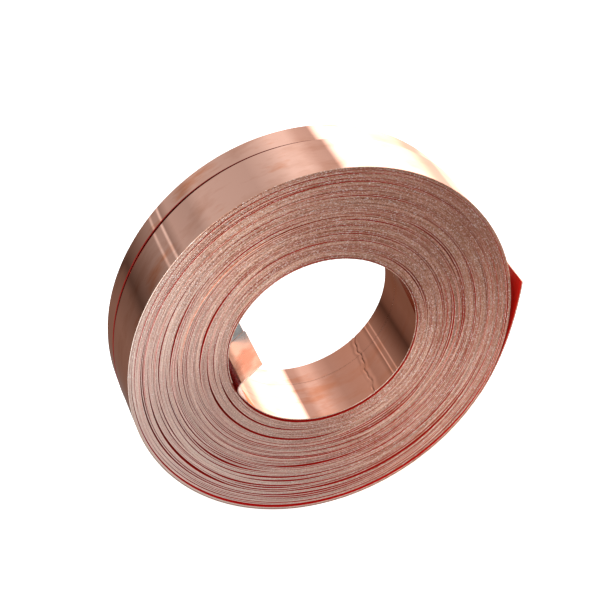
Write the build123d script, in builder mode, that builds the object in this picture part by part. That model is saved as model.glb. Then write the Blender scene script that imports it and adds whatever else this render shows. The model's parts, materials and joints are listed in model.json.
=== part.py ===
from build123d import *
from math import atan2, cos, degrees, radians, sin
import os

# Copper strip roll: two flat strips, a wide one in front and a narrow one behind, wound side by
# side on one mandrel. Millimetres. The roll's axis is Y, its front faces -Y, and +Z is up.
# The origin is on the bore's axis at the middle of the roll's width. Seen from the front, the
# strips wind outwards anticlockwise. Angles are measured that way too, from +X.

# --- strip -----------------------------------------------------------------------------------
strip_thickness = 0.40
turn_pitch = 0.45              # one turn and the air over it
front_strip_width = 22.0
rear_strip_width = 10.3
seam_gap = 0.4                 # between the two strips, all the way through

# --- winding ---------------------------------------------------------------------------------
bore_radius = 38.0             # a standard 76 mm bore
front_pack_turns = (13, 12, 12, 11, 11, 10, 8)
rear_pack_turns = (16, 16, 16, 15, 14)
wrap_turns = 2                 # whole turns that lie loose round the outermost pack
front_pack_gap = 0.35          # where the packs lie tightest, at the top
rear_pack_gap = 0.30
running_gap = 0.35             # kept between a free end and the turn that it lies on

# --- looseness: how far each winding hangs below a true circle -------------------------------
front_body_sag = 6.0
front_wrap_sag = 7.3
rear_body_sag = 5.0
rear_wrap_sag = 6.0
front_drift = 0.12             # sideways shift of the front strip's turns, per mm of sag
rear_drift = 0.0
side_bulge = 0.11              # extra half-width of a turn, per mm of sag
inner_turn_lift = 0.55         # the innermost turn stands off the wall at the bottom
inner_turn_squeeze = 0.25      # and is narrower than the wall by this, each side

# --- free ends -------------------------------------------------------------------------------
tail_root_angle = 331.0        # front strip's outer end, about its own turn's centre
tail_knee = (79.4, -13.0)      # where the tail starts to run straight
tail_tip = (82.4, 9.3)
rear_tail_root_angle = 312.0
rear_tail_knee = (66.6, -45.6)
rear_tail_tip = (77.6, -21.0)
tail_seat = 12.0               # the outermost turn starts here, just past the tail's tip
rear_tail_seat = -10.0
tail_end_gap = 0.6             # degrees between a turn's cut end and the tail that leaves it
hook_root = (-31.0, -21.2)
hook_bend = (-35.4, -14.2)     # corner of the bend
hook_bend_radius = 2.2
front_hook_tip = (-24.8, -4.4)
rear_hook_tip = (-26.2, -4.9)
inner_turn_opening = (196.0, 215.5)   # the innermost turn leaves room for the hook here

# --- places across the width -----------------------------------------------------------------
roll_width = front_strip_width + seam_gap + rear_strip_width
front_strip_back = -roll_width / 2 + front_strip_width
rear_strip_back = roll_width / 2

os.makedirs("parts", exist_ok=True)


class Loop:
    """The outline that a turn follows at one depth of winding: an ellipse that sags."""

    def __init__(self, build_up, sag, drift):
        self.centre = (drift * sag, -sag / 2)
        self.half_width = bore_radius + build_up + side_bulge * sag
        self.half_height = bore_radius + build_up + sag / 2

    def at(self, angle):
        """The point on the outline at an angle about its own centre."""
        x = self.centre[0] + self.half_width * cos(radians(angle))
        z = self.centre[1] + self.half_height * sin(radians(angle))
        return (x, z)

    def along(self, angle):
        """The direction of the outline there, anticlockwise."""
        return (-self.half_width * sin(radians(angle)), self.half_height * cos(radians(angle)))


def finish(piece, name):
    """Label a finished piece and write it as its own STEP file."""
    piece.part.label = name
    export_step(piece.part, f"parts/{name}.step")


def wind_ring(name, back_y, width, inner, outer, opening=None):
    """A run of whole turns as one ring, cut open between two angles if an opening is given."""
    reach = 2 * outer.half_height
    with BuildPart() as piece:
        with BuildSketch(Plane.XZ.offset(-back_y)):
            with Locations(outer.centre):
                Ellipse(outer.half_width, outer.half_height)
            with Locations(inner.centre):
                Ellipse(inner.half_width, inner.half_height, mode=Mode.SUBTRACT)
            if opening:
                with BuildLine():
                    sides = [(reach * cos(radians(a)), reach * sin(radians(a))) for a in opening]
                    Polyline((0, 0), sides[0], sides[1], close=True)
                make_face(mode=Mode.SUBTRACT)
        extrude(amount=width)
    finish(piece, name)


def bend_tail(name, back_y, width, root, direction, knee, tip):
    """A strip's outer end: tangent to the turn at its root, then straighter and clear of the roll."""
    with BuildPart() as piece:
        with BuildSketch(Plane.XZ.offset(-back_y)):
            with BuildLine():
                first = TangentArc(root, knee, tangent=direction)
                TangentArc(knee, tip, tangent=first % 1)
                offset(amount=strip_thickness, side=Side.LEFT)
            make_face()
        extrude(amount=width)
    finish(piece, name)


def bend_hook(name, back_y, width, tip):
    """A strip's inner end: a short lead from the innermost turn, a tight bend and a flat flap."""
    with BuildPart() as piece:
        with BuildSketch(Plane.XZ.offset(-back_y)):
            with BuildLine():
                FilletPolyline(hook_root, hook_bend, tip, radius=hook_bend_radius)
                offset(amount=strip_thickness, side=Side.RIGHT)
            make_face()
        extrude(amount=width)
    finish(piece, name)


def wind_strip(side, back_y, width, pack_turns, pack_gap, body_sag, wrap_sag, drift):
    """Wind one strip: its innermost turn, its packs, the loose wrap and the outermost turn."""
    packs_depth = sum(pack_turns) * turn_pitch + (len(pack_turns) - 1) * pack_gap

    def body_loop(build_up):
        return Loop(build_up, body_sag * (build_up / packs_depth) ** 2, drift)

    lifted = [Loop(depth, 0, 0) for depth in (0, strip_thickness)]
    for loop in lifted:
        loop.centre = (0, inner_turn_lift)
        loop.half_height -= inner_turn_lift
        loop.half_width -= inner_turn_squeeze
    wind_ring(f"{side}_inner_turn", back_y, width, *lifted, opening=inner_turn_opening)

    depth = turn_pitch
    for number, turns in enumerate(pack_turns, start=1):
        outer_depth = depth + turns * turn_pitch
        wind_ring(f"{side}_pack_{number}", back_y, width, body_loop(depth), body_loop(outer_depth))
        depth = outer_depth + pack_gap

    wrap_depth = wrap_turns * turn_pitch - (turn_pitch - strip_thickness)
    wrap = [Loop(depth, wrap_sag, drift), Loop(depth + wrap_depth, wrap_sag, drift)]
    wind_ring(f"{side}_outer_wrap", back_y, width, *wrap)
    depth += wrap_turns * turn_pitch
    return [Loop(depth, wrap_sag, drift), Loop(depth + strip_thickness, wrap_sag, drift)]


def part_outer_end(side, back_y, width, turn, root_angle, seat, knee, tip):
    """Make the outermost turn, cut open for the tail, and the tail that stands off in its place."""
    x, z = turn[1].at(root_angle)
    outward = atan2(z, x)
    clear = running_gap - (turn_pitch - strip_thickness)
    root = (x + clear * cos(outward), z + clear * sin(outward))
    opening = (degrees(outward) - tail_end_gap, seat)
    wind_ring(f"{side}_outer_turn", back_y, width, *turn, opening=opening)
    bend_tail(f"{side}_outer_tail", back_y, width, root, turn[1].along(root_angle), knee, tip)


# --- front strip -----------------------------------------------------------------------------
front_turn = wind_strip("front", front_strip_back, front_strip_width, front_pack_turns,
                        front_pack_gap, front_body_sag, front_wrap_sag, front_drift)
part_outer_end("front", front_strip_back, front_strip_width, front_turn,
               tail_root_angle, tail_seat, tail_knee, tail_tip)
bend_hook("front_inner_hook", front_strip_back, front_strip_width, front_hook_tip)

# --- rear strip ------------------------------------------------------------------------------
rear_turn = wind_strip("rear", rear_strip_back, rear_strip_width, rear_pack_turns,
                       rear_pack_gap, rear_body_sag, rear_wrap_sag, rear_drift)
part_outer_end("rear", rear_strip_back, rear_strip_width, rear_turn,
               rear_tail_root_angle, rear_tail_seat, rear_tail_knee, rear_tail_tip)
bend_hook("rear_inner_hook", rear_strip_back, rear_strip_width, rear_hook_tip)
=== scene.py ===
"""Copper strip roll: a wide and a narrow strip of bright copper wound side by side."""

import json

import bpy
import numpy as np
from bpy.props import FloatProperty, FloatVectorProperty, IntProperty, PointerProperty
from mathutils import Matrix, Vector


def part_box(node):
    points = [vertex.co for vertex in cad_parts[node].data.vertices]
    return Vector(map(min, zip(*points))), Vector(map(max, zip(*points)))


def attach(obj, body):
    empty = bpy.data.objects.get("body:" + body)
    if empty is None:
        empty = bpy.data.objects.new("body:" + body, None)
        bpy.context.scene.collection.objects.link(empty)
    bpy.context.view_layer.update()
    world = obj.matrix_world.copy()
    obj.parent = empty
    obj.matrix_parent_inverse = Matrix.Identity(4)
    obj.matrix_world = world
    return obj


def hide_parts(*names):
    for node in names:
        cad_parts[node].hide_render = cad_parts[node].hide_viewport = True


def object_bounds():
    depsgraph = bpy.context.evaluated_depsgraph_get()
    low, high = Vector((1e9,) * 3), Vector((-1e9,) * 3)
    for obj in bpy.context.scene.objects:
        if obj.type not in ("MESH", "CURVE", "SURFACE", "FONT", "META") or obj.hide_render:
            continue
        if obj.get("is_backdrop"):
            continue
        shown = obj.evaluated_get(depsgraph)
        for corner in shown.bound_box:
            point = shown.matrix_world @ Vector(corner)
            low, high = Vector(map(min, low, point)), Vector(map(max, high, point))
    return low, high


bl_info = {
    "name": "Copper Strip Roll",
    "version": (1, 0, 0),
    "blender": (4, 5, 0),
    "location": "View3D > Sidebar > Strip Roll",
    "description": "Winds the turns, ends and finish of a roll of bare copper strip",
    "category": "Object",
}

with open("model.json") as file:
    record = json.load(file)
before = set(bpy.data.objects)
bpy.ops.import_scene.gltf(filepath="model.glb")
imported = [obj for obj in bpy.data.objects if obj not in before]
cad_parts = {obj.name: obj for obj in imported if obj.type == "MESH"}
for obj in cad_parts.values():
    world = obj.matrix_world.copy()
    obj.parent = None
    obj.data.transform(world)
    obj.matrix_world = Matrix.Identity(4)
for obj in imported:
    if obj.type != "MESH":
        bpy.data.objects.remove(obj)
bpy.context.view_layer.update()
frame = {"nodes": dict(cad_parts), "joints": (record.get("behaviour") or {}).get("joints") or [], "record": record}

MM = 0.001
FRONT, REAR = "front", "rear"
EDGE, FACE, GAP_FACE = 0, 1, 2           # material slots of a wound strip
CHORD_SHARE = 0.575                      # of a tail's whole turn that shows between root and tip
HOOK_TURN, BORE_TURN, WRAP_TURN, OUTER_TURN, TAIL_TURN = -2, -1, 90, 92, 94    # "turn" on loose pieces
BODY_OF = {node: body for body, nodes in frame["record"]["behaviour"]["bodies"].items() for node in nodes}


# --- Settings ------------------------------------------------------------------------------------

class RollSizes(bpy.types.PropertyGroup):
    """How the strips are wound"""
    thickness: FloatProperty(
        name="Strip thickness", description="Gauge of both strips", default=0.40 * MM, unit="LENGTH")
    turn_pitch: FloatProperty(
        name="Turn pitch", description="One turn and the air over it", default=0.45 * MM, unit="LENGTH")
    corner: FloatProperty(
        name="Slit corner", description="Width of the worn corner along a slit edge",
        default=0.07 * MM, unit="LENGTH")
    edge_scatter: FloatProperty(
        name="Edge scatter", description="How unevenly the turns' edges line up on the roll's side",
        default=0.11 * MM, unit="LENGTH")
    looseness: FloatProperty(
        name="Looseness", description="How unevenly the air is shared between turns", default=2.0, min=0.0)
    stations: IntProperty(
        name="Stations", description="Cross-sections in each turn", default=288, min=48)
    seed: IntProperty(name="Seed", description="Draw of the winding's unevenness", default=7)


class RollFinish(bpy.types.PropertyGroup):
    """Colours of the metal"""
    face: FloatVectorProperty(
        name="Rolled face", description="Bright rolled copper", subtype="COLOR", size=3,
        default=(0.92, 0.575, 0.465), min=0.0, max=1.0)
    stain: FloatVectorProperty(
        name="Heat stain", description="Orange-brown bloom on the faces", subtype="COLOR", size=3,
        default=(0.80, 0.36, 0.22), min=0.0, max=1.0)
    edge: FloatVectorProperty(
        name="Slit edge", description="Torn and burnished copper along the edges", subtype="COLOR", size=3,
        default=(0.93, 0.575, 0.43), min=0.0, max=1.0)
    edge_dark: FloatVectorProperty(
        name="Edge shadow", description="Duller grains of the slit edges", subtype="COLOR", size=3,
        default=(0.33, 0.112, 0.062), min=0.0, max=1.0)
    # painted reflection: the red that copper takes from copper deep between turns, with painted glow
    gap: FloatVectorProperty(
        name="Gap", description="Copper seen only in copper, deep between turns", subtype="COLOR", size=3,
        default=(0.58, 0.012, 0.006), min=0.0, max=1.0)


class RollStage(bpy.types.PropertyGroup):
    """Floor, lamp and camera"""
    floor: FloatVectorProperty(
        name="Floor", description="Pale floor", subtype="COLOR", size=3,
        default=(0.95, 0.95, 0.95), min=0.0, max=1.0)
    lamp: FloatProperty(
        name="Lamp", description="Power of the large soft lamp at the left", default=1.9, unit="POWER")
    azimuth: FloatProperty(
        name="Azimuth", description="Camera's bearing from straight ahead",
        default=np.radians(-19.08), subtype="ANGLE")
    elevation: FloatProperty(
        name="Elevation", description="Camera's height angle", default=np.radians(36.48), subtype="ANGLE")
    distance: FloatProperty(
        name="Distance", description="Camera to the bore's front", default=0.602, unit="LENGTH")
    aside: FloatProperty(
        name="Aside", description="How far left of the bore the camera looks", default=9.24 * MM,
        unit="LENGTH")
    above: FloatProperty(
        name="Above", description="How far above the bore the camera looks", default=16.31 * MM,
        unit="LENGTH")
    lens: FloatProperty(
        name="Lens", description="Focal length, millimetres", default=94.7, unit="CAMERA")


# --- Loops that the turns follow -----------------------------------------------------------------

def loop_of(node):
    """The outer loop of a ring node as centre x, centre z, half-width and half-height, in metres."""
    low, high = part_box(node)
    return np.array([low.x + high.x, low.z + high.z, high.x - low.x, high.z - low.z]) / 2


def grown(loop, by):
    """The loop a distance further out all round."""
    return loop + np.array([0.0, 0.0, by, by])


def on_loop(loop, angle):
    """Points of an ellipse: centre plus half-widths times the cosine and sine of the angle."""
    return np.stack([loop[0] + loop[2] * np.cos(angle), loop[1] + loop[3] * np.sin(angle)], -1)


def ease(t):
    """A smooth step from 0 to 1, flat at both ends: three t squared less two t cubed."""
    t = np.clip(t, 0.0, 1.0)
    return t * t * (3.0 - 2.0 * t)


def round_noise(rng, rows, angle, waves):
    """Rows of noise that close on themselves: sums of cosines of whole multiples of the angle."""
    order = np.arange(1, waves + 1)
    swing = rng.normal(size=(rows, waves)) / np.sqrt(waves)
    phase = rng.uniform(0, 2 * np.pi, (rows, waves))
    return np.einsum("rw,rwa->ra", swing, np.cos(order[None, :, None] * angle + phase[:, :, None])) * 1.414


# --- Strip surfaces ------------------------------------------------------------------------------

def section(thickness, corner, across, open_back, seam=EDGE):
    """The strip's cross-section, once round: share of the thickness, side, distance in from that side.

    The slit edge that is seen has two worn corners; the other one, at the seam against the
    neighbouring strip, is square. `across` is how many spans the inner and outer faces have from
    front to back. The second result is the material of the span after each point.
    """
    share = corner / thickness
    square_front = [(0.0, 0, 0.0), (1.0, 0, 0.0)]
    worn_front = [(0.0, 0, corner), (share, 0, 0.0), (1 - share, 0, 0.0), (1.0, 0, corner)]
    square_back = [(1.0, 1, 0.0), (0.0, 1, 0.0)]
    worn_back = [(1.0, 1, -corner), (1 - share, 1, 0.0), (share, 1, 0.0), (0.0, 1, -corner)]
    outer_face = [(1.0, step / across, 0.0) for step in range(1, across)]
    inner_face = [(0.0, 1 - step / across, 0.0) for step in range(1, across)]
    square, worn = [seam], [EDGE] * 3
    if open_back:
        rows = square_front + outer_face + worn_back + inner_face
        kinds = square + [FACE] * across + worn + [GAP_FACE] * across
    else:
        rows = worn_front + outer_face + square_back + inner_face
        kinds = worn + [FACE] * across + square + [GAP_FACE] * across
    return np.array(rows), kinds


def strip_surface(name, inner, outer, front, back, rows, kinds, turn, swell=None, hidden=0):
    """A strip as one closed surface: its section, a loop of (share, side, inset), carried along a path.

    A point is inner + share * (outer - inner) in the plane of the winding, and front + side *
    (back - front) + inset across it. `inner` and `outer` are the path's two faces, station by
    station. `swell` moves a point outwards by a length for each station and section point. The
    first `hidden` stations are covered by later turns, so their outer face takes the colour of the
    gap. `turn` numbers the turns along the path, for the finishes.
    """
    share, side, inset = rows.T
    flat = inner[:, None, :] + share[None, :, None] * (outer - inner)[:, None, :]
    if swell is not None:
        away = (outer - inner) / np.linalg.norm(outer - inner, axis=1, keepdims=True)
        flat = flat + away[:, None, :] * swell[:, :, None]
    depth = front[:, None] + side * (back - front)[:, None] + inset
    grid = np.stack([flat[..., 0], depth, flat[..., 1]], -1)
    stations, points = grid.shape[:2]

    kinds = np.tile(kinds, (stations - 1, 1))
    kinds[:hidden] = np.where(kinds[:hidden] == FACE, GAP_FACE, kinds[:hidden])
    mesh = tube_of(name, grid, kinds)
    map_strip(mesh, grid, outer)
    turns = mesh.attributes.new("turn", "FLOAT", "POINT")
    turns.data.foreach_set("value", np.repeat(turn, points).astype(np.float32))

    mesh.update(calc_edges=True)
    mesh.validate()
    mesh.shade_smooth()
    mesh.set_sharp_from_angle(angle=np.radians(28))
    return mesh


def tube_of(name, grid, kinds):
    """A mesh from a grid of stations by section points: four-sided faces round it, and two flat ends."""
    stations, points = grid.shape[:2]
    number = np.arange(stations * points).reshape(stations, points)
    here, onward = number[:-1], number[1:]
    quads = np.stack([here, np.roll(here, -1, 1), np.roll(onward, -1, 1), onward], -1).reshape(-1, 4)
    loops = np.concatenate([quads.ravel(), number[0, ::-1], number[-1]])
    sizes = np.concatenate([np.full(len(quads), 4), [points, points]])
    starts = np.concatenate([[0], np.cumsum(sizes)[:-1]])
    slots = np.concatenate([kinds.ravel(), [EDGE, EDGE]])

    mesh = bpy.data.meshes.new(name)
    mesh.vertices.add(stations * points)
    mesh.vertices.foreach_set("co", grid.astype(np.float32).ravel())
    mesh.loops.add(len(loops))
    mesh.loops.foreach_set("vertex_index", loops.astype(np.int32))
    mesh.polygons.add(len(sizes))
    mesh.polygons.foreach_set("loop_start", starts.astype(np.int32))
    mesh.polygons.foreach_set("material_index", slots.astype(np.int32))
    return mesh


def map_strip(mesh, grid, outer):
    """The strip's own coordinates in metres: length along its outer face, and length round its section."""
    stations, points = grid.shape[:2]
    along = np.concatenate([[0.0], np.cumsum(np.linalg.norm(np.diff(outer, axis=0), axis=1))])
    around = np.concatenate([[0.0], np.cumsum(np.linalg.norm(np.diff(grid[0], axis=0), axis=1))])
    closing = around[-1] + np.linalg.norm(grid[0, 0] - grid[0, -1])
    across = np.stack([around, np.append(around[1:], closing)], -1)
    v = np.broadcast_to(across[None, :, [0, 1, 1, 0]], (stations - 1, points, 4))
    u = np.broadcast_to(np.stack([along[:-1], along[:-1], along[1:], along[1:]], -1)[:, None], v.shape)
    ends = [np.stack([np.full(points, at), around], -1) for at in (along[0], along[-1])]
    pairs = np.concatenate([np.stack([u, v], -1).reshape(-1, 2), ends[0][::-1], ends[1]])
    uv = mesh.uv_layers.new(name="strip")
    uv.data.foreach_set("uv", pairs.astype(np.float32).ravel())


def settle(mesh, node, face=None, gap=None):
    """Hang a finished surface on the body of the CAD section that it stands for.

    Its finishes are those of the slit edge, of the rolled face and of the faces in the gaps.
    """
    piece = bpy.data.objects.new(mesh.name, mesh)
    bpy.context.scene.collection.objects.link(piece)
    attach(piece, BODY_OF[node])
    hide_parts(node)
    for finish in (edge_finish(), face or face_finish(), gap or gap_finish()):
        mesh.materials.append(finish)
    return piece


# --- Winding -------------------------------------------------------------------------------------

class Strip:
    """Where one of the two strips lies: its side planes, its packs of turns and its start angles."""

    def __init__(self, side, start_degrees, wrap_degrees, pack_gap):
        low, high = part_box(f"{side}_pack_1")
        self.side = side
        self.front, self.back = low.y, high.y
        self.pack_gap = pack_gap                            # left between packs in the solid model
        self.packs = sorted(node for node in frame["nodes"] if node.startswith(f"{side}_pack_"))
        self.start = np.radians(start_degrees)              # the packs begin over the hook
        self.wrap_start = np.radians(wrap_degrees)          # the loose wrap begins past the tail's tip
        self.seen_behind = side == REAR                     # its open slit edges face the back
        self.inward = -1.0 if self.seen_behind else 1.0     # a sunk edge moves towards the seam


WIDE = Strip(FRONT, 202.0, 12.0 + 360.0, 0.35 * MM)
NARROW = Strip(REAR, 202.0, -10.0 + 360.0, 0.30 * MM)


def whole_turns(inner, outer, sizes):
    """How many whole turns fit between two loops: their distance apart at the top, over the pitch."""
    return int((outer[3] + outer[1] - inner[3] - inner[1]) / sizes.turn_pitch + 0.01)


def spiral(inner, outer, turns, start, sizes, rng, onward=None):
    """One strip wound between two loops, its outer face carried on to `onward` at its last station.

    At each angle the depth between the loops is shared out: every turn takes the strip's thickness
    and a share of the air, drawn as the exponential of round noise. A turn moves evenly from its own
    place to the next turn's as it goes once round, so the path is one unbroken spiral. Two more turns
    follow at the plain pitch, for a path that runs on past the outer loop.
    """
    per_turn = sizes.stations
    angle = start + np.linspace(0, 2 * np.pi, per_turn + 1)
    depth = np.linalg.norm(on_loop(outer, angle) - on_loop(inner, angle), axis=1)
    whole = whole_turns(inner, outer, sizes)
    lead = rng.normal(0, 0.8 * sizes.looseness, (whole, 1))
    weight = 0.06 + np.exp(lead + 0.6 * sizes.looseness * round_noise(rng, whole, angle, 5))
    air = weight / weight.sum(0) * (depth - whole * sizes.thickness)
    place = np.concatenate([np.zeros((1, per_turn + 1)), np.cumsum(air + sizes.thickness, 0)])
    place = np.concatenate([place, place[-1:] + sizes.turn_pitch, place[-1:] + 2 * sizes.turn_pitch])

    last = int(round(turns * per_turn))
    step = np.arange(last + 1)
    row, column = np.minimum(step // per_turn, whole + 1), step % per_turn
    share = column / per_turn
    rise = place[row, column] * (1 - share) + place[np.minimum(row + 1, whole + 2), column] * share
    along = start + 2 * np.pi * step / per_turn
    base, top = on_loop(inner, along), on_loop(outer, along)
    away = (top - base) / np.linalg.norm(top - base, axis=1, keepdims=True)
    if onward is not None:
        run_out = np.radians(60)                        # over which the path moves to the next loop
        crossing = ease(1 - (along[-1] - along) / run_out)
        still_to_rise = np.linalg.norm(on_loop(onward, along) - base, axis=1) - rise
        left = np.clip(turns * per_turn - step, 0, per_turn)
        near_end = left < run_out / (2 * np.pi) * per_turn
        rise = np.where(near_end, rise + crossing * still_to_rise, rise)
    near = base + away * rise[:, None]
    return along, near, near + away * sizes.thickness


def scatter(along, start, sizes, rng, amount=1.0):
    """How far each station's edge stands out of line: a step for each turn, eased, and round noise.

    About one turn in seven is sunk, by two to five times the usual scatter.
    """
    turn = (along - start) / (2 * np.pi)
    rows = int(turn[-1]) + 3
    per_turn = rng.normal(0, sizes.edge_scatter, rows)
    sunk = rng.random(rows) < 0.14
    per_turn += np.where(sunk, rng.uniform(2.0, 5.0, rows) * sizes.edge_scatter, 0.0)
    noise = round_noise(rng, rows, along, 9)
    row = turn.astype(int)
    share = turn - row
    at = np.arange(len(along))
    own = per_turn[row] + 0.5 * sizes.edge_scatter * noise[row, at]
    following = per_turn[row + 1] + 0.5 * sizes.edge_scatter * noise[row + 1, at]
    return amount * (own * (1 - share) + following * share)


def wind_packs(strip, sizes):
    """Wind every pack of a strip, from the bore outwards: a section carried along a spiral.

    The gap that parts a pack from the next is shared out as air. The last pack has no gap over it,
    and its spiral runs on to where the loose wrap begins.
    """
    rng = np.random.default_rng(sizes.seed + (0 if strip.side == FRONT else 100))
    rows, kinds = section(sizes.thickness, sizes.corner, 1, strip.seen_behind)
    inner = grown(loop_of(f"{strip.side}_inner_turn"), sizes.turn_pitch - sizes.thickness)
    round_bore = inner[3] + inner[1]
    inner = np.array([0.0, 0.0, round_bore, round_bore])
    count = 0
    for node in strip.packs:
        outer = loop_of(node)
        onward = grown(outer, strip.pack_gap)
        turns = whole_turns(inner, outer, sizes)
        if node == strip.packs[-1]:
            wrap = grown(loop_of(f"{strip.side}_outer_wrap"), -sizes.thickness - sizes.turn_pitch)
            extra = (strip.wrap_start - strip.start) / (2 * np.pi)
            along, near, far = spiral(inner, outer, turns + extra, strip.start, sizes, rng, wrap)
        else:
            along, near, far = spiral(inner, onward, turns, strip.start, sizes, rng)
        shift = scatter(along, strip.start, sizes, rng) * strip.inward
        front, back = strip.front + shift, strip.back + shift
        turn = count + (along - strip.start) / (2 * np.pi)
        hidden = len(along) - sizes.stations
        name = f"{node}_turns"
        surface = strip_surface(name, near, far, front, back, rows, kinds, turn, hidden=hidden)
        settle(surface, node)
        inner, count = onward, count + turns


def wind_wrap(strip, sizes):
    """The two loose turns round the outermost pack: a section carried along a spiral."""
    rng = np.random.default_rng(sizes.seed + (200 if strip.side == FRONT else 300))
    node = f"{strip.side}_outer_wrap"
    inner = grown(loop_of(node), -sizes.thickness - sizes.turn_pitch)
    outer = grown(loop_of(node), sizes.turn_pitch - sizes.thickness)
    along, near, far = spiral(inner, outer, 2.0, strip.wrap_start, sizes, rng)
    shift = scatter(along, strip.wrap_start, sizes, rng, 0.6) * strip.inward
    front, back = strip.front + shift, strip.back + shift
    turn = WRAP_TURN + (along - strip.wrap_start) / (2 * np.pi)
    rows, kinds = section(sizes.thickness, sizes.corner, 6, strip.seen_behind)
    surface = strip_surface(f"{node}_turns", near, far, front, back, rows, kinds, turn)
    settle(surface, node, gap=open_gap_finish())


def wind_outer_turn(strip, sizes):
    """The outermost turn, up to the tail: a loop that climbs by one pitch in each turn.

    Its edge at the seam wanders, and the narrow strip's turn is lifted, except near both ends.
    """
    node = f"{strip.side}_outer_turn"
    loop = grown(loop_of(f"{strip.side}_outer_wrap"), sizes.turn_pitch - sizes.thickness)
    root = tail_root(strip.side)
    first = strip.wrap_start - 2 * np.pi
    last = np.arctan2(root[1] - loop[1], root[0] - loop[0]) + 2 * np.pi
    along = np.linspace(first, last, int(sizes.stations * (last - first) / (2 * np.pi)))
    base = on_loop(loop, along)
    away = base - loop[:2]
    away /= np.linalg.norm(away, axis=1, keepdims=True)
    climb = sizes.turn_pitch * (along - first) / (2 * np.pi)
    near = base + away * climb[:, None]
    far = near + away * sizes.thickness

    rows, kinds = section(sizes.thickness, 2.2 * sizes.corner, 12, strip.seen_behind, GAP_FACE)
    clear_of_ends = ease((last - along) / np.radians(25)) * ease((along - first) / np.radians(25))
    wander, open_by = seam_wander(along)
    front = np.full_like(along, strip.front)
    back = np.full_like(along, strip.back)
    swell = None
    if strip.side == FRONT:
        back += (wander - open_by) * clear_of_ends
    else:
        front += wander * clear_of_ends
        swell = lift(along, far, rows) * clear_of_ends[:, None]
    turn = OUTER_TURN + (along - first) / (2 * np.pi)
    surface = strip_surface(f"{node}_band", near, far, front, back, rows, kinds, turn, swell)
    # the seam side and the inner face of the outermost turn take the painted seam shade
    settle(surface, node, gap=painted_seam_shade_finish())


def bell(along, centre, spread):
    """A rounded rise about an angle in degrees: the exponential of minus the squared distance."""
    return np.exp(-((along - np.radians(centre)) / np.radians(spread)) ** 2)


def seam_wander(along):
    """How far back the outer seam runs, and how much wider it opens: both most at the upper left."""
    return (1.7 * MM * bell(along, 140, 42) - 1.8 * MM * bell(along, 62, 30),
            1.35 * MM * bell(along, 150, 32) + 0.12 * MM * bell(along, 85, 30))


def lift(along, far, rows):
    """The narrow strip's outermost turn rides nearly level with the wide one's, a little lower behind.

    The lift is the step between the two strips less a hair, and less again by the share of the width.
    At the left the near edge stands just proud instead.
    """
    hair = 0.12 * MM
    wide = loop_of("front_outer_turn")
    step = np.linalg.norm(on_loop(wide, along) - wide[:2], axis=1)
    step -= np.linalg.norm(far - wide[:2], axis=1)
    across = rows[None, :, 1]
    proud = 0.42 * MM * bell(along, 180, 34)[:, None] * (1 - 0.3 * across)
    return np.maximum(step[:, None] - hair - hair * across + proud, 0.0)


def tail_root(side):
    """The lowest end of a tail, where it leaves the outermost turn: x and z."""
    joint = next(j for j in frame["joints"] if j["name"] == f"{side}_tail_lift")
    return np.array([joint["pos_m"][0], joint["pos_m"][2]])


def bend_path(start, heading, length, curvature, steps):
    """A path whose heading turns by the curvature as it goes: heading is its running sum along the path."""
    s = np.linspace(0, length, steps)
    bend = curvature(s)
    mid = (bend[1:] + bend[:-1]) / 2
    angle = heading + np.concatenate([[0.0], np.cumsum(mid * np.diff(s))])
    half = (angle[1:] + angle[:-1]) / 2
    walk = np.stack([np.cos(half), np.sin(half)], -1) * np.diff(s)[:, None]
    points = start + np.concatenate([np.zeros((1, 2)), np.cumsum(walk, 0)])
    left = np.stack([-np.sin(angle), np.cos(angle)], -1)
    return s, points, left


def bend_tail(strip, sizes):
    """The strip's outer end: it leaves the roll along the last turn and straightens as it goes.

    Its curvature falls evenly from root to tip, and is scaled so that the path meets the tip: the
    chord turns from the root's heading by `CHORD_SHARE` of what the path turns in all.
    """
    node = f"{strip.side}_outer_tail"
    loop = grown(loop_of(f"{strip.side}_outer_wrap"), sizes.turn_pitch)
    root = tail_root(strip.side)
    bearing = np.arctan2(root[1] - loop[1], root[0] - loop[0])
    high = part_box(node)[1]
    start = on_loop(loop, np.array(bearing))
    heading = np.arctan2(loop[3] * np.cos(bearing), -loop[2] * np.sin(bearing))
    chord = np.array([high.x, high.z]) - start
    turned = (np.arctan2(chord[1], chord[0]) - heading) / CHORD_SHARE
    length = 1.004 * np.linalg.norm(chord)

    def curvature(s):
        return turned / length * (1.45 - 0.9 * s / length)

    s, points, left = bend_path(start, heading, length, curvature, 90)
    front, back = np.full_like(s, strip.front), np.full_like(s, strip.back)
    turn = TAIL_TURN + s / length
    rows, kinds = section(sizes.thickness, sizes.corner, 12, strip.seen_behind)
    inside = points - left * sizes.thickness
    settle(strip_surface(f"{node}_band", points, inside, front, back, rows, kinds, turn), node)


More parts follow.
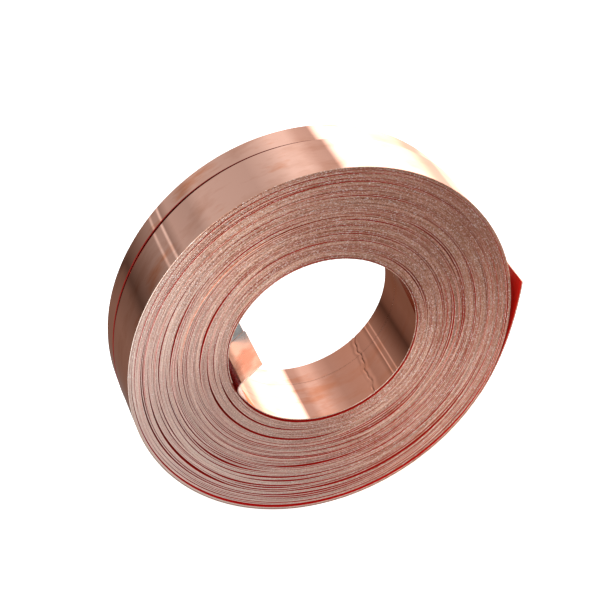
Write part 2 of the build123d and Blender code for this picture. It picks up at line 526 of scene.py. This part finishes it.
def line_bore(strip, sizes):
    """The innermost turn: a loop that stands off the wall where it starts and eases out at its end."""
    node = f"{strip.side}_inner_turn"
    loop = grown(loop_of(node), -sizes.thickness)
    first, last = np.radians(215.5), np.radians(196.0 + 360)
    along = np.linspace(first, last, 1100)
    base = on_loop(loop, along)
    away = base - loop[:2]
    away /= np.linalg.norm(away, axis=1, keepdims=True)
    easing_out = 0.42 * MM * ease((along - last) / np.radians(60) + 1)
    near = base + away * easing_out[:, None]
    far = near + away * sizes.thickness
    tighter = 0.14 * MM                                 # the seam is closer in the bore than outside
    front = np.full_like(along, strip.front - (tighter if strip.seen_behind else 0.0))
    back = np.full_like(along, strip.back + (0.0 if strip.seen_behind else tighter))
    turn = BORE_TURN + (along - first) / (2 * np.pi)
    rows, kinds = section(sizes.thickness, sizes.corner, 24, strip.seen_behind)
    kinds = [{FACE: GAP_FACE, GAP_FACE: FACE}.get(kind, kind) for kind in kinds]
    dent = crease(along, front[0] + rows[:, 1] * (back[0] - front[0]))
    surface = strip_surface(f"{node}_band", near, far, front, back, rows, kinds, turn, dent)
    settle(surface, node, bore_finish())


def crease(along, depth):
    """A kink across both strips in the bore: a narrow dent along a line that wanders as it crosses.

    The dent is the exponential of minus the squared distance from the line over its width, less a
    low shoulder three times as wide. The line leans 6 degrees from front to back and sways as two
    sines of the depth.
    """
    lean = 304.5 + 6.0 * (depth - WIDE.front) / (NARROW.back - WIDE.front)
    sway = 0.7 * np.sin(depth / (2.1 * MM)) + 0.45 * np.sin(depth / (0.83 * MM) + 1.0)
    radius = 38.0 * MM
    off = radius * (along[:, None] - np.radians(lean + sway)[None, :])
    dent = 0.36 * MM * np.exp(-((off / (0.45 * MM)) ** 2))
    return dent - 0.12 * MM * np.exp(-((off / (1.4 * MM)) ** 2))


def bend_hook(strip, sizes):
    """The strip's inner end: a lead off the innermost turn, a tight bend and a nearly flat flap.

    The curvature is the exponential of minus the squared distance from the bend's middle, scaled so
    that it adds up to the whole angle turned.
    """
    node = f"{strip.side}_inner_hook"
    loop = grown(loop_of(f"{strip.side}_inner_turn"), -sizes.thickness)
    bearing = np.radians(215.0)
    start = on_loop(loop, np.array(bearing))
    heading = np.arctan2(-loop[3] * np.cos(bearing), loop[2] * np.sin(bearing))
    lead, bend, turned = 4.0 * MM, 8.0 * MM, np.radians(-85.0)
    flap = (10.0 if strip.side == FRONT else 9.4) * MM
    length = lead + bend + flap
    spread = 0.36 * bend

    def curvature(s):
        return turned * np.exp(-(((s - lead - bend / 2) / spread) ** 2)) / (spread * np.sqrt(np.pi))

    s, points, left = bend_path(start, heading, length, curvature, 120)
    front, back = np.full_like(s, strip.front), np.full_like(s, strip.back)
    turn = HOOK_TURN + s / length
    rows, kinds = section(sizes.thickness, sizes.corner, 12, strip.seen_behind)
    kinds = [FACE if kind == GAP_FACE else kind for kind in kinds]
    outside = points + left * sizes.thickness
    surface = strip_surface(f"{node}_band", points, outside, front, back, rows, kinds, turn)
    settle(surface, node, flap_finish())


# --- Finishes ------------------------------------------------------------------------------------

class Nodes:
    """A node tree being built: short calls that add a node, join it up and hand back its result.

    A value may be a number, a colour or another node's result.
    """

    def __init__(self, tree):
        self.nodes, self.links = tree.nodes, tree.links

    def node(self, kind, values=None, **settings):
        made = self.nodes.new(kind)
        for key, value in settings.items():
            setattr(made, key, value)
        for key, value in (values or {}).items():
            self.feed(made.inputs[key], value)
        return made

    def feed(self, socket, value):
        if isinstance(value, bpy.types.NodeSocket):
            self.links.new(value, socket)
        elif socket.type == "RGBA":
            socket.default_value = (*value, 1.0)
        else:
            socket.default_value = value

    def math(self, operation, one, other=0.0):
        return self.node("ShaderNodeMath", {0: one, 1: other}, operation=operation).outputs[0]

    def spread(self, value, low, high, to_low=0.0, to_high=1.0, **settings):
        """Carry a range of values on to another range, and hold it at both ends."""
        made = self.node("ShaderNodeMapRange", {"Value": value, "From Min": low, "From Max": high,
                                                "To Min": to_low, "To Max": to_high}, **settings)
        return made.outputs["Result"]

    def blend(self, factor, one, other):
        """From one colour to another. A colour mix has its factor at 0, its colours at 6 and 7."""
        made = self.node("ShaderNodeMix", data_type="RGBA")
        for place, value in ((0, factor), (6, one), (7, other)):
            self.feed(made.inputs[place], value)
        return made.outputs[2]


class Finish(Nodes):
    """A material being built, of bare metal unless it is painted otherwise."""

    def __init__(self, name):
        self.material = bpy.data.materials.new(name)
        self.material.use_nodes = True
        super().__init__(self.material.node_tree)
        self.shader = self.nodes["Principled BSDF"]
        self.shader.inputs["Metallic"].default_value = 1.0

    def strip_place(self, along, across, each=1.0):
        """The strip's own coordinates, stretched: cells per metre along it and across it, and per turn."""
        uv = self.node("ShaderNodeUVMap", uv_map="strip").outputs[0]
        turn = self.node("ShaderNodeAttribute", attribute_name="turn").outputs["Fac"]
        part = self.node("ShaderNodeSeparateXYZ", {"Vector": uv}).outputs
        joined = self.node("ShaderNodeCombineXYZ", {"X": self.math("MULTIPLY", part[0], along),
                                                    "Y": self.math("MULTIPLY", part[1], across),
                                                    "Z": self.math("MULTIPLY", turn, each)})
        return joined.outputs[0]

    def towards(self, direction):
        """How far a point of the roll lies in a direction from the middle of the bore, in metres."""
        place = self.node("ShaderNodeTexCoord").outputs["Object"]
        made = self.node("ShaderNodeVectorMath", {0: place, 1: direction}, operation="DOT_PRODUCT")
        return made.outputs["Value"]

    def noise(self, place, detail=3.0, rough=0.5):
        made = self.node("ShaderNodeTexNoise", {"Vector": place, "Scale": 1.0, "Detail": detail,
                                                "Roughness": rough})
        return made.outputs["Fac"]

    def paint(self, **values):
        """Set or feed the shader's sockets, each named with an underscore for a space."""
        for key, value in values.items():
            self.feed(self.shader.inputs[key.replace("_", " ")], value)

    def bump(self, height, strength, distance):
        made = self.node("ShaderNodeBump", {"Height": height, "Strength": strength, "Distance": distance})
        self.links.new(made.outputs["Normal"], self.shader.inputs["Normal"])


def made_once(build):
    """Build a finish the first time it is asked for, and hand back the same one after."""
    kept = {}

    def fetch():
        if build not in kept:
            kept[build] = build(bpy.context.scene.roll_finish)
        return kept[build]

    return fetch


@made_once
def edge_finish(colours):
    """Slit edges: short grains of bright and dull copper, a shade for each turn, and pin-point painted glints.

    The roll's side has painted light towards the lower left, paler and lighter, and painted shade towards the
    upper right, browner.
    """
    finish = Finish("slit_copper_edge")
    grain = finish.noise(finish.strip_place(1500.0, 5200.0), 3.0, 0.7)
    drift = finish.noise(finish.strip_place(14.0, 0.0, 6.3), 2.0, 0.5)
    patch = finish.noise(finish.strip_place(170.0, 0.0, 5.1), 3.0, 0.6)
    mixed = finish.math("ADD", finish.math("MULTIPLY", grain, 1.05), finish.math("MULTIPLY", drift, 0.85))
    mixed = finish.math("ADD", mixed, finish.math("MULTIPLY", patch, 0.40))
    tone = finish.spread(mixed, 0.96, 1.30)
    colour = finish.blend(tone, tuple(colours.edge_dark), tuple(colours.edge))
    # painted light: the side's colour grows paler and lighter towards the lower left
    painted_light_lower_left = finish.spread(finish.towards((-0.88, 0.0, -0.47)), 0.01, 0.078, 0.0, 0.85)
    colour = finish.blend(painted_light_lower_left, colour, (1.0, 0.82, 0.73))
    # painted shade: the side's colour grows browner towards the upper right
    brown = finish.spread(finish.towards((0.9, 0.0, 0.44)), 0.0, 0.080, 0.0, 0.55)
    colour = finish.blend(brown, colour, (0.56, 0.28, 0.19))
    # painted glints: pin-point highlights mixed in as near-white colour
    painted_glint = finish.spread(finish.noise(finish.strip_place(1500.0, 3000.0), 2.0), 0.575, 0.66)
    colour = finish.blend(painted_glint, colour, (1.0, 0.86, 0.80))
    speck = finish.spread(finish.noise(finish.strip_place(420.0, 900.0), 1.0), 0.19, 0.22, 1.0, 0.0)
    colour = finish.blend(speck, colour, (0.10, 0.02, 0.012))
    finish.paint(Base_Color=colour, Roughness=finish.spread(grain, 0.3, 0.7, 0.30, 0.50),
                 Specular_Tint=(0.75, 0.42, 0.32))
    finish.bump(mixed, 0.7, 0.00008)
    return finish.material


def rolled_copper(name, base, stain, reach, rough, browner=None):
    """Bright rolled copper: blooms of stain, soft smudges, and a faint wave along the strip.

    `reach` is how far the stain spreads, `rough` is the roughness of a clean face, and `browner`
    is the range of turns over which the strip grows brown. The tint at a glance is kept warm, so
    that the metal doesn't pale at its edges.
    """
    finish = Finish(name)
    broad = finish.noise(finish.strip_place(34.0, 90.0), 4.0, 0.6)
    smudge = finish.noise(finish.strip_place(60.0, 130.0), 3.0, 0.6)
    colour = finish.blend(finish.spread(broad, 0.60 - reach, 0.74 - reach), base, stain)
    dull = finish.spread(smudge, 0.52, 0.80, 0.0, 0.45)
    colour = finish.blend(dull, colour, tuple(0.75 * part for part in stain))
    if browner:
        turn = finish.node("ShaderNodeAttribute", attribute_name="turn").outputs["Fac"]
        colour = finish.blend(finish.spread(turn, *browner, 0.0, 0.75), colour, (0.72, 0.30, 0.19))
    finish.paint(Base_Color=colour, Roughness=finish.spread(smudge, 0.35, 0.75, rough, 2.4 * rough),
                 Specular_Tint=(0.86, 0.60, 0.50))
    finish.bump(finish.noise(finish.strip_place(24.0, 60.0), 1.0), 1.0, 0.00003)
    return finish.material


@made_once
def face_finish(colours):
    """The outside of the roll: clean, with little stain."""
    return rolled_copper("bright_rolled_copper", tuple(colours.face), tuple(colours.stain), 0.0, 0.022)


@made_once
def bore_finish(colours):
    """The bore: the same metal, handled and heat-stained, browner as the strip comes off the wall."""
    return rolled_copper("stained_rolled_copper", (0.88, 0.51, 0.40), (0.78, 0.33, 0.20), 0.07, 0.022,
                         (-0.87, -0.77))


@made_once
def flap_finish(colours):
    """The bent inner end: the same metal, softly dulled by handling."""
    return rolled_copper("dulled_rolled_copper", (0.58, 0.66, 0.68), (0.52, 0.43, 0.39), 0.10, 0.15)


def deep_red(name, colour, glow):
    """Painted reflection: copper seen only in copper, reflection on reflection, painted as a saturated red with a
    trace of painted glow.
    """
    finish = Finish(name)
    lines = finish.noise(finish.strip_place(30.0, 2600.0), 3.0)
    dark = tuple(0.5 * part for part in colour)
    # painted reflection as a red base colour, and painted glow as emission
    finish.paint(Base_Color=finish.blend(lines, dark, colour), Roughness=0.42, Metallic=0.0,
                 Specular_IOR_Level=0.25, Emission_Color=colour, Emission_Strength=glow)
    return finish.material


@made_once
def gap_finish(colours):
    """The narrow gaps between turns, and the inside of the tails: painted red reflection with painted glow."""
    return deep_red("painted_reflection_between_turns", tuple(colours.gap), 0.06)


@made_once
def painted_seam_shade_finish(colours):
    """The seam between the two strips on the outside: painted shade, a dark red with no glow."""
    return deep_red("painted_shade_in_seam", (0.30, 0.010, 0.006), 0.0)


@made_once
def open_gap_finish(colours):
    """The open gaps under the loose outer turns: a brighter painted red reflection and more painted glow, for the
    more light that gets in.
    """
    return deep_red("painted_reflection_in_open_gap", (0.80, 0.008, 0.006), 0.08)


# --- Stage ---------------------------------------------------------------------------------------

def lay_floor(settings):
    """A flat pale floor under the roll: a grid of one span each way, 12 m across."""
    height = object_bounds()[0].z - 0.2 * MM
    x, y = np.meshgrid([-6.0, 6.0], [-6.0, 6.0])
    points = np.stack([x, y, np.full_like(x, height)], -1).reshape(-1, 3)
    mesh = bpy.data.meshes.new("floor")
    mesh.from_pydata(points.tolist(), [], [(0, 1, 3, 2)])
    floor = bpy.data.objects.new("floor", mesh)
    bpy.context.scene.collection.objects.link(floor)
    floor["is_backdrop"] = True
    finish = Finish("pale_floor")
    finish.paint(Base_Color=tuple(settings.floor), Metallic=0.0, Roughness=0.9,
                 Emission_Color=(1.0, 1.0, 1.0), Emission_Strength=0.75)
    mesh.materials.append(finish.material)
    floor.visible_glossy = False


# The studio as a wheel of cards about the roll's own axis: degrees round from +X over the top,
# brightness, and warmth. The strips' faces mirror this wheel. The cards shade into one another.
STUDIO = (
    (0, 3.0, 0.0), (46, 3.0, 0.0), (50, 1.9, 0.1), (53, 0.66, 0.35), (62, 0.74, 0.35), (70, 1.02, 0.1),
    (80, 1.0, 0.1), (90, 0.74, 0.15), (104, 0.56, 0.2), (137, 0.62, 0.15), (145, 0.46, 0.2),
    (159, 0.52, 0.2), (164.8, 0.32, 0.3), (165.5, 0.95, 0.0), (166.0, 0.95, 0.0), (166.7, 0.42, 0.2),
    (172, 0.42, 0.2), (172.7, 0.80, 0.0), (173.1, 0.80, 0.0), (173.8, 0.36, 0.2), (190, 0.20, 0.5),
    (203, 0.09, 0.7), (211, 0.18, 0.6), (230, 0.25, 0.4), (285, 0.24, 0.3), (304, 2.2, 0.0),
    (334, 2.3, 0.0), (337, 1.5, -0.2), (345, 1.6, -0.2), (350, 2.2, 0.0), (356, 3.0, 0.0),
)
BRIGHTEST = 4.0


def paint_studio():
    """Soft studio light as a sky: a wheel of cards about the roll's axis, and a plainer front.

    The wheel's angle is the arctangent of a direction's height over its sideways part. Forward of
    the roll the sky passes smoothly to one even tone, brighter on the left; the eye sees white.
    """
    world = bpy.data.worlds.new("studio")
    bpy.context.scene.world = world
    world.use_nodes = True
    studio = Nodes(world.node_tree)
    direction = studio.node("ShaderNodeTexCoord").outputs["Generated"]
    part = studio.node("ShaderNodeSeparateXYZ", {"Vector": direction}).outputs
    angle = studio.math("ARCTAN2", part["Z"], part["X"])
    wheel = studio.math("FRACT", studio.math("MULTIPLY", angle, 0.5 / np.pi))
    ramp = studio.node("ShaderNodeValToRGB", {"Fac": wheel})
    stops = ramp.color_ramp.elements
    while len(stops) < len(STUDIO):
        stops.new(1.0)
    for stop, (degrees, bright, warm) in zip(stops, STUDIO):
        stop.position = degrees / 360
        level = bright / BRIGHTEST
        stop.color = (level, level * (1 - 0.35 * warm), level * (1 - 0.5 * warm), 1.0)

    smooth = {"interpolation_type": "SMOOTHSTEP"}
    front = studio.spread(part["X"], -0.4, 0.5, 1.15 / BRIGHTEST, 0.36 / BRIGHTEST, **smooth)
    behind = studio.spread(part["Y"], -0.20, 0.35, **smooth)
    sky = studio.blend(behind, front, ramp.outputs["Color"])
    eye = studio.node("ShaderNodeLightPath").outputs["Is Camera Ray"]
    background = studio.nodes["Background"]
    studio.feed(background.inputs["Color"], studio.blend(eye, sky, (1.0, 1.0, 1.0)))
    background.inputs["Strength"].default_value = BRIGHTEST


def hang_lamp(settings):
    """A large round lamp at the left, facing the roll's lower left, out of the camera's sight."""
    spot = np.array([-0.33, -0.30, 0.05])
    target = np.array([-0.05, -0.016, -0.03])
    towards = (target - spot) / np.linalg.norm(target - spot)
    side = np.cross(towards, [0, 0, 1])
    side /= np.linalg.norm(side)
    matrix = np.eye(4)
    matrix[:3, :] = np.stack([side, np.cross(side, towards), -towards, spot], -1)
    data = bpy.data.lights.new("left_lamp", "AREA")
    data.shape = "DISK"
    data.size = 0.80
    data.energy = settings.lamp
    data.color = (0.80, 1.0, 1.05)
    lamp = bpy.data.objects.new("left_lamp", data)
    bpy.context.scene.collection.objects.link(lamp)
    lamp.matrix_world = Matrix(matrix.tolist())
    lamp.visible_camera = False


def set_camera(settings):
    """The camera looks down on the roll from the front left, level, a little left of and above the bore."""
    a, e = settings.azimuth, settings.elevation
    side = np.array([np.cos(a), np.sin(a), 0.0])
    towards = np.array([-np.sin(a) * np.cos(e), np.cos(a) * np.cos(e), -np.sin(e)])
    above = np.cross(side, towards)
    bore = np.array([0.0, WIDE.front, 0.0])
    spot = bore - settings.distance * towards - settings.aside * side + settings.above * above
    matrix = np.eye(4)
    matrix[:3, 0], matrix[:3, 1], matrix[:3, 2], matrix[:3, 3] = side, above, -towards, spot
    data = bpy.data.cameras.new("camera")
    data.lens, data.sensor_width = settings.lens, 36.0
    data.clip_start, data.clip_end = 0.01, 50.0
    camera = bpy.data.objects.new("camera", data)
    bpy.context.scene.collection.objects.link(camera)
    camera.matrix_world = Matrix(matrix.tolist())
    bpy.context.scene.camera = camera


# --- Operators -----------------------------------------------------------------------------------

class ROLL_OT_stage(bpy.types.Operator):
    """Set the camera, the pale floor and the soft studio light"""
    bl_idname = "strip_roll.stage"
    bl_label = "Set Stage"

    def execute(self, context):
        settings = context.scene.roll_stage
        set_camera(settings)
        lay_floor(settings)
        paint_studio()
        hang_lamp(settings)
        context.scene.view_settings.view_transform = "Standard"
        return {"FINISHED"}


class ROLL_OT_packs(bpy.types.Operator):
    """Wind the packs of turns of both strips"""
    bl_idname = "strip_roll.packs"
    bl_label = "Wind Packs"

    def execute(self, context):
        for strip in (WIDE, NARROW):
            wind_packs(strip, context.scene.roll_sizes)
        return {"FINISHED"}


class ROLL_OT_bore(bpy.types.Operator):
    """Line the bore with the innermost turns and bend the hooks"""
    bl_idname = "strip_roll.bore"
    bl_label = "Line Bore"

    def execute(self, context):
        for strip in (WIDE, NARROW):
            line_bore(strip, context.scene.roll_sizes)
            bend_hook(strip, context.scene.roll_sizes)
        return {"FINISHED"}


class ROLL_OT_outside(bpy.types.Operator):
    """Wind the loose outer wraps, the outermost turns and the tails"""
    bl_idname = "strip_roll.outside"
    bl_label = "Wind Outside"

    def execute(self, context):
        for strip in (WIDE, NARROW):
            wind_wrap(strip, context.scene.roll_sizes)
            wind_outer_turn(strip, context.scene.roll_sizes)
            bend_tail(strip, context.scene.roll_sizes)
        return {"FINISHED"}


class ROLL_PT_panel(bpy.types.Panel):
    bl_label = "Strip Roll"
    bl_idname = "ROLL_PT_panel"
    bl_space_type = "VIEW_3D"
    bl_region_type = "UI"
    bl_category = "Strip Roll"

    def draw(self, context):
        layout = self.layout
        for group in (context.scene.roll_sizes, context.scene.roll_finish, context.scene.roll_stage):
            box = layout.box()
            for key in group.bl_rna.properties.keys():
                if key not in ("rna_type", "name"):
                    box.prop(group, key)
        for operator in OPERATORS:
            layout.operator(operator.bl_idname)


OPERATORS = (ROLL_OT_stage, ROLL_OT_packs, ROLL_OT_bore, ROLL_OT_outside)
CLASSES = (RollSizes, RollFinish, RollStage, *OPERATORS, ROLL_PT_panel)


def register():
    for cls in CLASSES:
        bpy.utils.register_class(cls)
    bpy.types.Scene.roll_sizes = PointerProperty(type=RollSizes)
    bpy.types.Scene.roll_finish = PointerProperty(type=RollFinish)
    bpy.types.Scene.roll_stage = PointerProperty(type=RollStage)


def unregister():
    del bpy.types.Scene.roll_stage, bpy.types.Scene.roll_finish, bpy.types.Scene.roll_sizes
    for cls in reversed(CLASSES):
        bpy.utils.unregister_class(cls)


def main():
    register()
    bpy.ops.strip_roll.stage()
    bpy.ops.strip_roll.packs()
    bpy.ops.strip_roll.bore()
    bpy.ops.strip_roll.outside()


if __name__ == "__main__":
    main()
